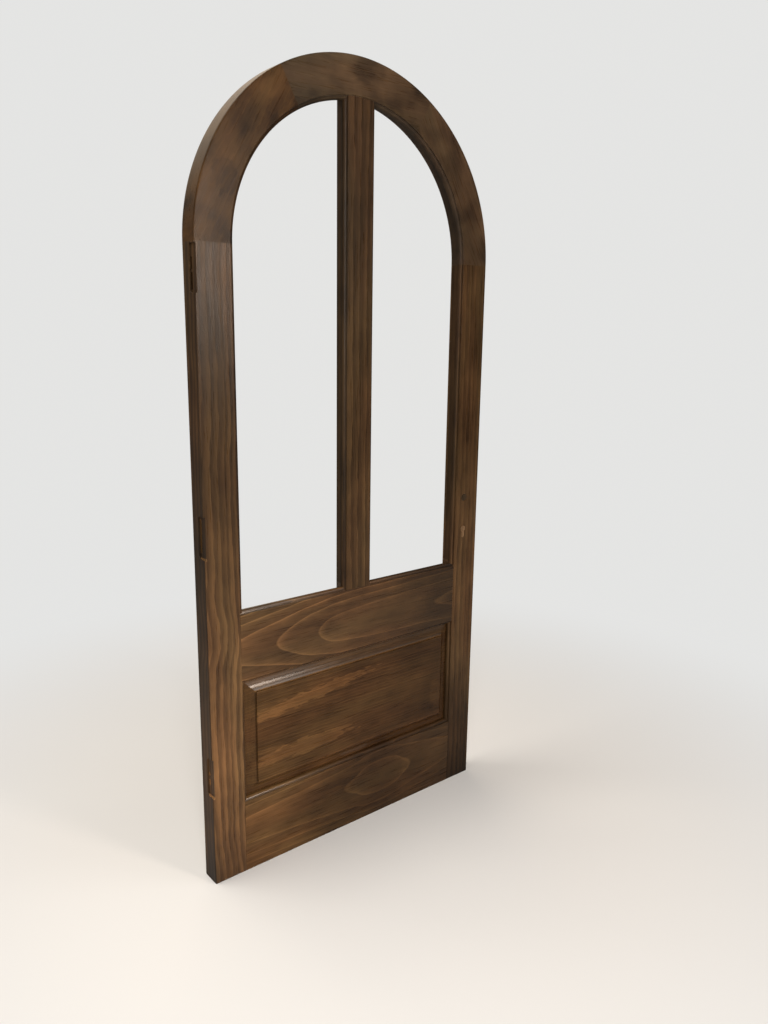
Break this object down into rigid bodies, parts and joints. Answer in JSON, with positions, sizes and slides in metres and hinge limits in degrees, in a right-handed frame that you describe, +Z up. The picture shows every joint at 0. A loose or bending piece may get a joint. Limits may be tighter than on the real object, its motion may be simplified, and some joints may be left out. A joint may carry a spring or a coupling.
{
  "type": "arched wooden door",
  "caption": "Round-headed wooden door leaf: open arched lights beside a muntin, over a moulded rail and a raised and fielded panel.",
  "frame": {"origin": "middle of the bottom edge's footprint, on the plane it stands on", "axes": "+Z up along the leaf's height, -Y out of the moulded front face, +Y out of the rebated back, -X towards the hinge edge"},
  "size_m": [0.865, 0.054, 1.94],
  "materials": {
    "stained_softwood": "satin dark stain",
    "bare_softwood": "bare, planed"
  },
  "bodies": {
    "root": {"hinge_stile": "stained_softwood", "lock_stile": "stained_softwood", "mid_rail": "stained_softwood", "bottom_rail": "stained_softwood", "muntin": "stained_softwood", "head_left": "stained_softwood", "head_crown": "stained_softwood", "head_right": "stained_softwood", "panel": "stained_softwood", "bead_left": "stained_softwood", "bead_right": "stained_softwood", "bead_bottom": "stained_softwood", "bead_top": "stained_softwood", "head_tongue_1": "bare_softwood", "head_tongue_2": "bare_softwood", "head_tongue_3": "bare_softwood", "head_tongue_4": "bare_softwood"}
  },
  "joints": []
}
